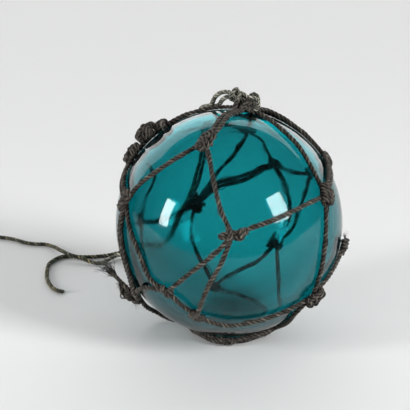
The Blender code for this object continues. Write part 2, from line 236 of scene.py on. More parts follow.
def add_rope(
    shape, path, diameter, start_taper=0.0, end_taper=0.0, uneven=0.05, painted_shade=1.0, worn=0.0, pale_at=None
):
    """A three-strand laid twine along a path; a shade below 1 darkens the colour of twine deep in a knot,
    as painted shade.

    worn is how far its bleached stretches have lost their grooves, from 0 to 1.
    pale_at is the middle of one more bleached stretch.
    """
    number = len(path)
    travelled = travelled_along(path)
    step = travelled[-1] / max(number - 1, 1)
    turn = math.tau * travelled / (TWIST_PITCH * diameter) + wander(number, step, 0.5, 0.02)
    turn += chance.uniform(0, math.tau)
    radius = 0.5 * diameter * (1 + wander(number, step, uneven, 0.005))
    for taper, from_end in ((start_taper, travelled), (end_taper, travelled[-1] - travelled)):
        if taper > 0:
            radius = radius * np.maximum(0.25, np.sqrt(np.clip(from_end / taper, 0, 1)))
    side = np.arange(SIDES)
    lobe = np.abs(np.sin(STRANDS / 2 * math.tau * side / SIDES)) ** LOBE_POWER
    bleached = np.clip((path[:, 2] - BLEACH_FROM) / BLEACH_OVER, 0, 1)[:, None]
    if pale_at is not None:
        away = np.linalg.norm(path - pale_at, axis=1)[:, None]
        bleached = np.maximum(bleached, np.clip(PALE_REACH - away, 0, PALE_FADE) / PALE_FADE)
    filled = 1 - worn * bleached
    arm = radius[:, None] * (1 - (1 - GROOVE) * (1 - lobe[None]) * filled)
    rings = rings_round(path, arm, turn[:, None] + math.tau * side[None] / SIDES)
    strand_tone = chance.sample((0.25, 0.50, 0.80), STRANDS)
    tones = np.empty((number, SIDES, 4))
    tones[..., 0] = np.repeat(strand_tone, SIDES // STRANDS)[None]
    # Crown tone: the strand's height in its lay, times the painted shade
    tones[..., 1] = (1 - (1 - lobe[None]) * filled) * painted_shade
    tones[..., 2] = (0.5 + wander(number, step, 0.5, 0.012))[:, None]
    tones[..., 3] = bleached
    shape.add_rings(pressed_flat(rings), travelled, tones, turn / math.tau)


def add_yarn(shape, path, thin, sides, palest=1.0):
    """A plain round thread; thin holds its half thickness at each point."""
    rings = rings_round(path, thin[:, None], math.tau * np.arange(sides) / sides)
    tones = np.full((len(path), sides, 4), chance.uniform(0.3, palest))
    shape.add_rings(rings, np.linspace(0, length_of(path), len(path)), tones)


def add_hair(shape, start, way, length, thickness=0.00005, curl=0.5, palest=1.0):
    """One loose fibre, three-sided and pointed, wandering as it goes."""
    points, heading = [np.asarray(start, float)], unit(way)
    for _ in range(4):
        heading = unit(heading + np.array([chance.uniform(-curl, curl) for _ in range(3)]))
        points.append(points[-1] + heading * length / 4)
    path = np.array(points)
    path[:, 2] = np.maximum(path[:, 2], thickness)
    add_yarn(shape, path, thickness * np.linspace(1.0, 0.3, len(path)), 3, palest)


def add_loose_yarns(shape, path, diameter, every, length):
    """Yarns worked loose from an old twine: each leaves it, runs beside it and comes back."""
    for _ in range(round(length_of(path) / every)):
        size = max(8, round(length * chance.uniform(0.5, 1.5) / RING_STEP))
        start = chance.randrange(0, max(1, len(path) - size))
        piece = path[start : start + size]
        _, across, other = frames_along(piece)
        turn = chance.uniform(0, math.tau)
        outward = across * math.cos(turn) + other * math.sin(turn)
        aside = swell(piece) * diameter * chance.uniform(0.45, 0.95)
        line = kept_clear(piece + outward * aside, BALL_RADIUS + GAP + YARN_CLEARANCE, YARN_CLEARANCE)
        add_yarn(shape, line[::2], np.full(len(line[::2]), chance.uniform(0.00018, 0.00036)), 5)


# -------- the camera

LENS = 156.63
CAMERA_PLACE = (-0.01345, -0.9365, 0.4142)
CAMERA_TILT = 70.0

camera = in_scene("camera", bpy.data.cameras.new("camera"))
camera.data.lens = LENS
camera.location = CAMERA_PLACE
camera.rotation_euler = (math.radians(CAMERA_TILT), 0.0, 0.0)
bpy.context.scene.camera = camera


# -------- materials


def fill(socket, value):
    """Sets an input, or links it where the value comes from another node."""
    if hasattr(value, "is_output"):
        socket.id_data.links.new(value, socket)
    else:
        socket.default_value = value


def put(node, **values):
    """Fills a node's inputs by name, with _ for a space."""
    for name, value in values.items():
        fill(node.inputs[name.replace("_", " ")], value)


class Nodes:
    """A short way to add a material's nodes."""

    def __init__(self, name):
        self.material = bpy.data.materials.new(name)
        self.material.use_nodes = True
        self.shader = self.material.node_tree.nodes["Principled BSDF"]
        self.output = self.material.node_tree.nodes["Material Output"]

    def add(self, kind, **settings):
        node = self.material.node_tree.nodes.new(kind)
        for name, value in settings.items():
            setattr(node, name, value)
        return node

    def noise(self, place, scale, detail=3.0, roughness=0.6):
        node = self.add("ShaderNodeTexNoise")
        put(node, Vector=place, Scale=scale, Detail=detail, Roughness=roughness)
        return node.outputs["Fac"]

    def stretched(self, place, scale):
        node = self.add("ShaderNodeMapping")
        put(node, Vector=place, Scale=scale)
        return node.outputs["Vector"]

    def ramp(self, value, *stops):
        """A colour, or a single number for a grey, at each place."""
        node = self.add("ShaderNodeValToRGB")
        put(node, Fac=value)
        points = node.color_ramp.elements
        while len(points) < len(stops):
            points.new(0.5)
        for point, (place, colour) in zip(points, stops):
            point.position = place
            point.color = (*np.broadcast_to(colour, 3), 1.0)
        return node.outputs["Color"]

    def mix(self, share, first, second, blend="MIX"):
        node = self.add("ShaderNodeMix", data_type="RGBA", blend_type=blend)
        for index, value in ((0, share), (6, first), (7, second)):
            fill(node.inputs[index], value)
        return node.outputs[2]

    def weighted(self, total, *parts):
        """The total so far, plus each part's value times its weight."""
        for value, weight in parts:
            node = self.add("ShaderNodeMath", operation="MULTIPLY_ADD")
            for index, term in enumerate((value, weight, total)):
                fill(node.inputs[index], term)
            total = node.outputs[0]
        return total


def twine_material(name, dark, middle, pale, fleck, fleck_from, bleached, groove_dirt_and_shade, blotched, strand_weight):
    """Dry laid twine: yarns along it, dirt and painted shade in its grooves, painted shade deep in knots,
    and a colour that drifts.
    """
    nodes = Nodes(name)
    tones = nodes.add("ShaderNodeAttribute", attribute_name="tones")
    parts = nodes.add("ShaderNodeSeparateColor")
    put(parts, Color=tones.outputs["Color"])
    strand, crown, drift = (parts.outputs[part] for part in ("Red", "Green", "Blue"))
    place = nodes.add("ShaderNodeUVMap", uv_map="along").outputs["UV"]
    solid = nodes.add("ShaderNodeTexCoord").outputs["Object"]

    yarns = nodes.noise(nodes.stretched(place, (2.2, 26.0, 1.0)), 1.0, 2.0)
    fuzz = nodes.noise(solid, 2600.0, 2.0)
    patches = nodes.noise(solid, 430.0, 4.0, 0.7)

    middling = 0.15 - strand_weight / 2
    level = nodes.weighted(middling, (yarns, 0.5), (patches, 0.55), (strand, strand_weight), (drift, 0.12))
    colour = nodes.ramp(level, (0.50, dark), (0.74, middle), (0.98, pale))
    specks = nodes.ramp(nodes.noise(solid, 520.0, 2.0), (fleck_from, 0.0), (fleck_from + 0.08, 1.0))
    colour = nodes.mix(specks, colour, (*fleck, 1.0))
    faded = nodes.ramp(level, *zip((0.52, 0.94), bleached))
    colour = nodes.mix(tones.outputs["Alpha"], colour, faded)
    # Dirt and painted shade: the grooves between strands, and twine with a painted shade below 1, are
    # darkened. crown holds both
    dirt_and_painted_shade = nodes.ramp(crown, *zip((0.0, 0.66), groove_dirt_and_shade), (0.98, 1.0))
    colour = nodes.mix(1.0, colour, dirt_and_painted_shade, "MULTIPLY")
    blotches = nodes.ramp(nodes.noise(solid, 300.0, 2.0), (0.38, blotched), (0.56, 1.0))
    colour = nodes.mix(1.0, colour, blotches, "MULTIPLY")
    bump = nodes.add("ShaderNodeBump")
    put(bump, Strength=1.0, Distance=0.00026, Height=nodes.weighted(0.0, (yarns, 0.8), (fuzz, 0.35)))
    put(nodes.shader, Base_Color=colour, Normal=bump.outputs["Normal"])
    put(nodes.shader, Roughness=0.86, Specular_IOR_Level=0.25, Sheen_Weight=0.08, Sheen_Roughness=0.6)
    return nodes.material


tarred_twine = twine_material(
    "tarred_twine",
    dark=(0.030, 0.024, 0.020),
    middle=(0.100, 0.085, 0.070),
    pale=(0.290, 0.260, 0.212),
    fleck=(0.150, 0.080, 0.060),
    fleck_from=0.64,
    bleached=((0.025, 0.021, 0.018), (0.17, 0.15, 0.125)),
    groove_dirt_and_shade=(0.05, 0.34),
    blotched=0.55,
    strand_weight=0.30,
)
lashing_twine = twine_material(
    "lashing_twine",
    dark=(0.022, 0.027, 0.023),
    middle=(0.155, 0.160, 0.118),
    pale=(0.52, 0.49, 0.35),
    fleck=(0.50, 0.40, 0.17),
    fleck_from=0.57,
    bleached=((0.17, 0.172, 0.132), (0.80, 0.78, 0.64)),
    groove_dirt_and_shade=(0.03, 0.22),
    blotched=0.40,
    strand_weight=0.46,
)


# -------- the two tails
# Their routes in mm: out of the lashing, over the back of the ball, down to the floor and along it.

LONG_TAIL_ROUTE = [
    (0.2, 12.0, 135.4), (-3.9, 14.0, 134.8), (-7.7, 17.2, 131.3), (-10.3, 22.5, 124.8),
    (-15.9, 37.8, 117.9), (-16.6, 49.0, 103.6), (-16.8, 59.8, 88.4), (-18.9, 63.6, 78.0),
    (-20.9, 66.0, 69.0), (-23.4, 67.6, 60.4), (-27.6, 69.6, 50.4), (-33.4, 72.6, 40.2),
    (-37.0, 77.2, 29.5), (-42.0, 83.6, 18.4), (-49.2, 90.2, 9.6), (-58.5, 97.0, 5.6),
    (-66.6, 100.6, 3.6), (-71.5, 98.9, 2.4), (-75.7, 94.4, 1.5), (-80.2, 92.6, 1.3),
    (-84.3, 93.5, 1.6), (-88.5, 96.1, 2.3), (-93.0, 98.3, 3.1), (-97.5, 99.8, 3.9),
    (-101.4, 103.2, 4.3), (-105.8, 110.8, 3.3), (-110.3, 119.6, 1.9), (-115.2, 124.4, 1.3),
    (-121.3, 125.0, 1.3), (-128.6, 127.8, 1.3), (-137.0, 134.0, 1.3), (-146.0, 137.0, 1.3),
    (-156.0, 135.6, 1.3), (-163.0, 135.3, 1.3), (-169.5, 135.3, 1.3),
]
SHORT_TAIL_ROUTE = [
    (0.2, 13.0, 132.4), (-1.5, 15.0, 131.7), (-3.8, 18.6, 129.0), (-6.2, 23.8, 124.3),
    (-13.2, 39.4, 117.5), (-13.9, 50.6, 103.0), (-14.1, 61.4, 88.0), (-16.2, 65.2, 77.8),
    (-18.2, 67.6, 68.8), (-20.8, 69.4, 60.2), (-25.2, 71.6, 50.2), (-31.2, 75.0, 40.0),
    (-35.2, 79.8, 29.4), (-40.4, 86.2, 18.4), (-48.0, 92.8, 9.8), (-57.0, 100.4, 5.8),
    (-66.0, 105.0, 3.4), (-75.0, 105.0, 1.3), (-82.0, 103.2, 1.3), (-90.5, 102.6, 1.3),
    (-98.2, 104.0, 1.3), (-103.6, 102.6, 1.3), (-107.6, 97.0, 1.3), (-110.2, 90.0, 1.3),
    (-110.4, 78.0, 1.3), (-109.2, 66.0, 1.3), (-106.0, 55.2, 1.3), (-101.8, 48.8, 1.3),
    (-97.6, 46.6, 1.3),
]

COIL_CENTRE = np.array((-176.0, 150.0, 0.0))
COIL_MIDDLE_RADIUS = 13.25
COIL_TURNS = 3.27
COIL_POINTS_A_TURN = 16


def coil_route():
    """The turns, laid clockwise: one outside, one inside it, and the last on top in the groove."""
    aside = 0.5 * TAIL_CORD / MM
    floor = TAIL_ON_FLOOR / MM
    top = floor + math.sqrt(3) / 2 * TAIL_CORD / MM
    turns_done = (0.0, 0.9, 1.1, 1.9, 2.15, COIL_TURNS)
    asides = (aside, aside, -aside, -aside, 0.0, 0.0)
    heights = (floor, floor, floor, floor, top, top)
    route = []
    for turns in np.linspace(0.0, COIL_TURNS, round(COIL_POINTS_A_TURN * COIL_TURNS)):
        angle = math.radians(-90) - math.tau * turns
        reach = COIL_MIDDLE_RADIUS + np.interp(turns, turns_done, asides)
        height = np.interp(turns, turns_done, heights)
        route.append(COIL_CENTRE + np.array((math.cos(angle) * reach, math.sin(angle) * reach, height)))
    return route


def tail_path(route):
    return kept_clear(path_in_mm(route), TAIL_ON_GLASS, TAIL_ON_FLOOR)


def rest(piece, slot, *replaced):
    """Every piece here rides on the one body."""
    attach(piece, "root")
    if replaced:
        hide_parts(*replaced)
    return piece


def add_frayed_end(shape, tip, way, count, length, spread, thickness, palest=1.0):
    """Yarns and fibres that stand out of a cut end."""
    for _ in range(count):
        aim = unit(unit(way) + np.array([chance.gauss(0, spread) for _ in range(3)]))
        start = tip + np.array([chance.uniform(-0.7, 0.7) for _ in range(3)]) * MM
        size = length * chance.uniform(0.4, 1.0)
        add_hair(shape, start, aim, size, thickness * chance.uniform(0.5, 1.0), 0.35, palest)


def add_fuzz(shape, path, diameter, every, longest):
    """Short stray fibres along a twine."""
    ahead, across, other = frames_along(path)
    for index in range(2, len(path) - 2):
        if chance.random() > RING_STEP / every:
            continue
        turn = chance.uniform(0, math.tau)
        outward = across[index] * math.cos(turn) + other[index] * math.sin(turn)
        start = path[index] + outward * diameter * 0.42
        if np.linalg.norm(start - BALL_CENTRE) < BALL_RADIUS + GAP:
            continue
        way = outward * chance.uniform(0.4, 1.0) + ahead[index] * chance.uniform(-1.2, 1.2)
        add_hair(shape, start, way, longest * chance.uniform(0.25, 1.0) ** 1.6, 0.00003, 0.45)


# The long tail, its coil, the coil's tie and the knot at its end

END_STRETCH = [(-188.7, 156.5, 2.9), (-188.0, 161.5, 1.4), (-187.3, 165.5, 1.5)]

tail_fuzz = Shape()

long_path = tail_path([*LONG_TAIL_ROUTE, *coil_route(), *END_STRETCH])
long_shape = Shape()
add_rope(long_shape, long_path, TAIL_TWINE, worn=0.5, pale_at=LONG_TAIL_PALE_AT)
add_fuzz(tail_fuzz, long_path, TAIL_CORD, 0.0016, 0.0016)
long_tail = long_shape.build("long_tail_twine", lashing_twine)
rest(long_tail, "lashing_twine", "long_tail", "tail_coil")

# The tie: two laps round the coil, this far from its middle line, and a short twist on top
TIE_ACROSS, TIE_UP, TIE_MIDDLE = 2.75, 2.15, 2.4
TIE_TWIST = [(13.5, -1.2, 4.7), (13.9, 0.0, 5.1), (13.1, 1.3, 4.8)]

tie_shape = Shape()
for lap in (-0.35, 0.35):
    loop = []
    for angle in np.linspace(0, math.tau, 17):
        across = COIL_MIDDLE_RADIUS + TIE_ACROSS * math.cos(angle)
        loop.append(COIL_CENTRE + (across, lap, TIE_MIDDLE + TIE_UP * math.sin(angle)))
    add_rope(tie_shape, path_in_mm(loop, 0.0003), 0.0006)
add_rope(tie_shape, path_in_mm([COIL_CENTRE + spot for spot in TIE_TWIST], 0.0003), 0.0007)
coil_tie = rest(tie_shape.build("coil_tie", lashing_twine), "lashing_twine")


# The end knot's curve: its start and its sweep in degrees, and its number of points
STOPPER_FROM, STOPPER_SWEEP, STOPPER_POINTS = -32, 304, 33


def overhand_knot(centre, size, heading):
    """A closed overhand knot: its line, in mm, round its centre."""
    turn = math.radians(heading)
    line = []
    for t in np.radians(STOPPER_FROM + np.linspace(0, STOPPER_SWEEP, STOPPER_POINTS)):
        x = math.sin(t) + 2 * math.sin(2 * t)
        y = math.cos(t) - 2 * math.cos(2 * t)
        z = -math.sin(3 * t)
        across = x * math.cos(turn) - y * math.sin(turn)
        ahead = x * math.sin(turn) + y * math.cos(turn)
        line.append(np.array(centre) + np.array((across, ahead, 0.7 * z)) * size)
    return line


END_KNOT = (-187.0, 168.8, 2.5)
knot_shape = Shape()
knot_path = path_in_mm(overhand_knot(END_KNOT, 1.05, 20), 0.0004)
knot_path[:, 2] = np.maximum(knot_path[:, 2], TAIL_ON_FLOOR)
add_rope(knot_shape, knot_path, 0.0022)
stub = path_in_mm([(-187.0, 169.0, 2.0), (-188.2, 173.0, 1.4), (-187.6, 177.0, 1.25)])
add_rope(knot_shape, stub, TAIL_TWINE, end_taper=0.0012)
add_frayed_end(knot_shape, stub[-1], stub[-1] - stub[-4], 18, 0.0035, 0.35, 0.00014)
end_knot = rest(knot_shape.build("tail_end_knot_twine", lashing_twine), "lashing_twine", "tail_end_knot")

short_path = tail_path(SHORT_TAIL_ROUTE)
short_shape = Shape()
add_rope(short_shape, short_path, TAIL_TWINE, end_taper=0.0006, worn=0.5)
add_fuzz(tail_fuzz, short_path, TAIL_CORD, 0.0016, 0.0016)
add_frayed_end(tail_fuzz, short_path[-1], short_path[-1] - short_path[-4], 22, 0.0018, 0.5, 0.00010)
short_tail = rest(short_shape.build("short_tail_twine", lashing_twine), "lashing_twine", "short_tail")
rest(tail_fuzz.build("tail_fibres", lashing_twine), "lashing_twine")


# -------- the net
# Each knot: its place (longitude, latitude, lift in mm), the way its long side points (degrees from east
# towards north), and its half length, half width and half height in mm.

KNOTS = {
    "crown": ((129, 79, 0.2), 10, (7.6, 4.6, 2.1)),
    "upper": ((-25, 61, 0), 75, (7.0, 4.6, 3.4)),
    "centre": ((0.8, 14.8, 0), 8, (7.8, 3.2, 2.7)),
    "left": ((-66.4, 19, 0), 85, (6.8, 3.6, 2.7)),
    "right": ((60, 24, 0), 60, (6.4, 5.0, 3.4)),
    "lower": ((-19, -32, 0), -40, (3.8, 3.0, 2.5)),
    "lower_right": ((52, -27, 0.4), 35, (6.6, 4.8, 3.4)),
    "right_shoulder": ((97, 34, 0.2), -70, (4.4, 3.4, 2.4)),
    "right_limb": ((80, -9, 0), 80, (5.4, 3.4, 2.3)),
    "left_shoulder_high": ((-111, 51, 1.0), 70, (5.8, 4.0, 2.8)),
    "left_shoulder": ((-106.5, 45.3, 2.5), 75, (5.8, 4.2, 4.0)),
    "left_shoulder_low": ((-102, 33.5, 0.3), 85, (6.2, 4.4, 3.6)),
    "left_low": ((-85, -40.4, 2.4), 60, (4.6, 3.8, 3.0)),
    "left_crossing": ((-33, -18, 0), -30, (3.8, 2.6, 2.2)),
    "back_top": ((166, 42.5, 0), 0, (6.4, 4.2, 3.0)),
    "back_left": ((-161, -10, 0), 60, (7.0, 5.6, 3.4)),
    "back_middle": ((153, 16, 0), 10, (5.0, 4.0, 2.8)),
    "back_right": ((124, 18, 0), -20, (4.4, 3.8, 2.8)),
    "back_low_right": ((148.5, -29.5, 0), 30, (6.0, 5.0, 3.2)),
    "back_low": ((-163, -60, 0), 60, (4.6, 4.0, 2.8)),
    "far_left": ((-118, -10, 0), 70, (5.0, 4.2, 3.0)),
}
BOTTOM_KNOT = np.array((-1.0, -27.0, 2.3))
BOTTOM_KNOT_SIZE = (5.8, 2.8, 1.7)
LOOSE_END = (-95, -23, 11.0)

# The cord that hugs the glass under the left shoulder's knots
LEFT_SHOULDER = [(-175, 76), (-141, 69), (-122, 60), (-111.5, 51), (-109, 47), (-106, 41)]

# Each cord: the knots it joins, and the places it passes in between
RUNS = [
    ("crown", "upper", [(100, 87), (-20, 83), (-20, 75), (-22, 68)]),
    ("upper", "centre", [(-15, 50), (-10, 39), (-5, 26)]),
    ("upper", "left", [(-38, 52), (-50, 41), (-61, 29)]),
    ("centre", "right", [(12, 18), (25, 21), (44, 24)]),
    ("centre", "left_crossing", [(-7, 6), (-19, -5)]),
    ("centre", "lower", [(-4, 2), (-11, -12)]),
    ("left", "left_crossing", [(-59, 10), (-49, -2), (-43, -14)]),
    ("left_crossing", "lower", [(-26, -24, 1.4)]),
    ("left", "left_low", [(-68, 6), (-65, -6), (-64, -19), (-70, -32.5, 1.6)]),
    ("left_low", "left_crossing", [(-59, -26, 0.6), (-47, -20, 0.3)]),
    ("right", "crown", [(61, 38), (66, 51), (74, 64), (100, 74)]),
    ("right", "right_shoulder", [(71, 28), (83, 31)]),
    ("right_shoulder", "crown", [(102, 40, 0.3), (109, 50, 0.5), (118, 59, 1.0), (130, 67, 1.6)]),
    ("right", "lower_right", [(55, 12), (52, -1), (51, -16)]),
    ("lower_right", "lower", [(36, -31, 0.4), (18, -35, 0.8), (0, -37, 1.5), (-12, -34, 1.5)]),
    ("lower_right", "right_limb", [(58, -22.5), (63, -19.5), (69, -16), (75, -13)]),
    ("bottom", "back_low_right", [(40, -64), (80, -61), (115, -57), (136, -46)]),
    ("crown", "left_shoulder_low", LEFT_SHOULDER),
    ("left_shoulder_low", "left", [(-93, 27), (-80, 23)]),
    ("crown", "back_top", [(150, 66)]),
    ("back_top", "left_shoulder_high", [(180, 49), (-160, 51), (-137, 50)]),
    ("back_top", "back_middle", [(158, 35), (156, 26)]),
    ("back_top", "back_left", [(170, 32), (178, 19), (-172, 5)]),
    ("back_left", "back_middle", [(-173, 0), (173, 4), (160, 12)]),
    ("back_middle", "back_right", [(144, 14), (135, 15)]),
    ("back_right", "right_shoulder", [(114, 22), (105, 28)]),
    ("back_middle", "back_low_right", [(146, 3), (143, -8), (144, -20)]),
    ("back_right", "back_low_right", [(130, 6), (136, -8), (139, -20)]),
    ("back_low_right", "back_low", [(155, -39), (170, -48), (-177, -54)]),
    ("back_left", "back_low", [(-157, -20), (-156, -34), (-160, -46)]),
    ("back_left", "far_left", [(-142, -14), (-129, -14)]),
    ("far_left", "left_shoulder_low", [(-125, 1), (-131, 12), (-119, 25)]),
    ("far_left", "left_low", [(-112, -22), (-100, -34, 0.6)]),
    ("left_low", "left_low_end", [(-84, -33, 4.0)]),
    ("back_low", "bottom", [(150, -68), (95, -69), (40, -69)]),
]
RIGHT_SLACK = [on_ball(45, -38), on_ball(51, -51), on_ball(59, -62, 0.5)]
RIGHT_SLACK += [on_floor(*spot) for spot in ((20.5, -15.0), (14.5, -20.0), (8.0, -24.5))]
LEFT_SLACK_SPOTS = [
    (-8.8, -24.2), (-14.8, -17.6), (-20.2, -9.8), (-23.8, -2.2), (-27.8, 2.8), (-32.8, 4.6),
    (-38.5, 8.2, 1.5), (-44.5, 5.6, 5.9), (-47.8, 2.2, 9.9),
]
LEFT_SLACK = [on_floor(*spot) for spot in LEFT_SLACK_SPOTS]


def knot_place(name):
    if name == "bottom":
        return BOTTOM_KNOT * MM
    if name == "left_low_end":
        return on_ball(*LOOSE_END)
    longitude, latitude, lift = KNOTS[name][0]
    return on_ball(longitude, latitude, lift)


def side_by_side(path, offset):
    """The path moved sideways along the ball, back to its own line at both ends."""
    ahead = np.gradient(path, axis=0)
    across = np.cross(ahead, path - BALL_CENTRE)
    across /= np.linalg.norm(across, axis=1, keepdims=True)
    return path + across * offset * swell(path, 0.35)


def let_down(path, depth):
    """The path brought nearer to the glass, but not at its ends."""
    outward = path - BALL_CENTRE
    outward /= np.linalg.norm(outward, axis=1, keepdims=True)
    return path - outward * depth * swell(path, 0.35)


def sways(path, size):
    """Small slow bends, so that no cord is a perfect arc."""
    step = length_of(path) / len(path)
    drift = np.stack([wander(len(path), step, size, 0.012) for _ in range(3)], axis=1)
    return path + drift * swell(path)


# The cords in which two twines run together, and the one whose second twine lies nearer to the glass
DOUBLED = {
    ("crown", "upper"), ("left", "left_low"), ("right", "right_shoulder"), ("right_shoulder", "crown"),
    ("left_shoulder_low", "left"), ("back_left", "back_middle"),
}
STACKED = ("right_shoulder", "crown")

net_front, net_back, net_fuzz, net_yarns = Shape(), Shape(), Shape(), Shape()


def net_half(path):
    return net_front if path[:, 1].mean() < FRONT_DEPTH else net_back


def add_net_cord(start, end, between):
    """A cord from knot to knot; those at the back are older, rougher and less straight."""
    line = smooth_path([knot_place(start), *between, knot_place(end)])
    shape = net_half(line)
    doubled = (start, end) in DOUBLED
    behind = shape is net_back
    rough = behind and "crown" not in (start, end)
    for offset in ((-0.5, 0.5) if doubled else (0,)):
        path = side_by_side(line, offset * NET_CORD * 1.06) if doubled else line
        if (start, end) == STACKED and offset > 0:
            path = let_down(path, NET_CORD * 0.6)
        path = kept_clear(sways(path, 0.00045 if rough else 0.00012), NET_ON_GLASS, NET_ON_FLOOR)
        end_taper = 0.011 if end == "left_low_end" else 0.0
        add_rope(shape, path, NET_CORD, end_taper=end_taper, uneven=0.20 if behind else 0.11)
        add_fuzz(net_fuzz, path, NET_CORD, *((0.0006, 0.0034) if behind else (0.0009, 0.0026)))
        if rough:
            add_loose_yarns(net_yarns, path, NET_CORD, 0.006 if doubled else 0.012, 0.014)
        if not behind:
            add_loose_yarns(net_yarns, path, NET_CORD * 0.8, 0.020, 0.008)


for start, end, between in RUNS:
    add_net_cord(start, end, [on_ball(*place) for place in between])
add_net_cord("lower_right", "bottom", RIGHT_SLACK)
add_net_cord("bottom", "left_low", LEFT_SLACK)


# -------- the net's knots
# Each is tied from twine: lines through places (along, across, off the glass) in mm from the knot's middle.

KNOT_TWINE = 0.0027


def on_knot(name, spots):
    """Places near a knot, following the ball's curve."""
    if name == "bottom":
        x, y, _ = BOTTOM_KNOT
        return [on_floor(x + a, y + b, c) for a, b, c in spots]
    (longitude, latitude, lift), turn, _ = KNOTS[name]
    outward = direction(longitude, latitude)
    east = unit(np.cross((0, 0, 1), outward))
    north = np.cross(outward, east)
    angle = math.radians(turn)
    along = east * math.cos(angle) + north * math.sin(angle)
    across = np.cross(outward, along)
    places = []
    for a, b, c in spots:
        way = unit(outward * NET_ON_GLASS + (along * a + across * b) * MM)
        places.append(BALL_CENTRE + way * (NET_ON_GLASS + (lift + c) * MM))
    return places


def wraps(start, end, turns, half_width, height, lean=0.0, middle=0.0):
    """A twine wound round the knot's long side, from start to end along it."""
    spots = []
    steps = max(8, round(turns * 10))
    for step in range(steps + 1):
        angle = math.tau * turns * step / steps - math.pi / 2
        along = start + (end - start) * step / steps + lean * math.cos(angle)
        spots.append((along, middle + math.cos(angle) * half_width, (1 + math.sin(angle)) * height / 2))
    return spots


def bight(length, half_width, height):
    """A loop of twine lying along the knot, its closed end at -length."""
    spots = [(length * 0.5, half_width, height * 0.5), (0, half_width, height)]
    spots += [(-length * 0.65, half_width * 0.8, height), (-length, 0, height * 0.8)]
    spots += [(-length * 0.65, -half_width * 0.8, height), (0, -half_width, height)]
    return [*spots, (length * 0.5, -half_width, height * 0.4)]


def plain_knot(half_length, half_width, half_height):
    """A net maker's knot: a loop, and the other twine passed up through it and wound round its legs."""
    width, height = half_width - 1.25, 2 * half_height - 2.5
    sway = chance.uniform(-0.5, 0.5)
    turns = 1 + (half_length > 5) * 1.0
    crossing = [
        (-half_length * 0.5, half_width * 0.9, 0.2),
        (-half_length * 0.2, width * 0.5, height * 0.9),
        (0.3 + sway, -width * 0.2, height),
        (half_length * 0.35, -width, height * 0.5),
        (half_length * 0.4, -half_width, 0.0),
    ]
    return [
        bight(half_length - 1.2, width * 0.62, height * 0.55),
        wraps(-0.6 + sway, half_length - 1.6, turns + 0.5, width, height, 0.5),
        crossing,
    ]


def tangle(half_length, half_width, half_height):
    """An old knot pulled out of shape: short bights over a rough heap, and two twines along it."""
    top = 2 * half_height - 2.5
    lines = []
    for share in np.linspace(-0.8, 0.8, 6):
        middle, lean = half_length * share, chance.uniform(-1.2, 1.2)
        width = half_width * chance.uniform(0.5, 0.8)
        peak = top * chance.uniform(0.75, 1.0) * (1 - 0.35 * share**2)
        spots = [(middle - lean - 1.0, width, -1.8), (middle - lean * 0.4, width * 0.7, peak * 0.75)]
        spots += [(middle + lean * 0.3, 0.0, peak), (middle + lean, -width * 0.7, peak * 0.7)]
        lines.append([*spots, (middle + lean + 1.0, -width, -1.8)])
    for side in (-0.5, 0.5):
        aside = side * half_width
        spots = [(-half_length * 1.05, aside, -1.4), (-half_length * 0.5, aside, top * 0.5)]
        spots += [(0.0, -aside, top * 0.8), (half_length * 0.5, aside * 0.6, top * 0.5)]
        lines.append([*spots, (half_length * 1.05, aside, -1.4)])
    return lines


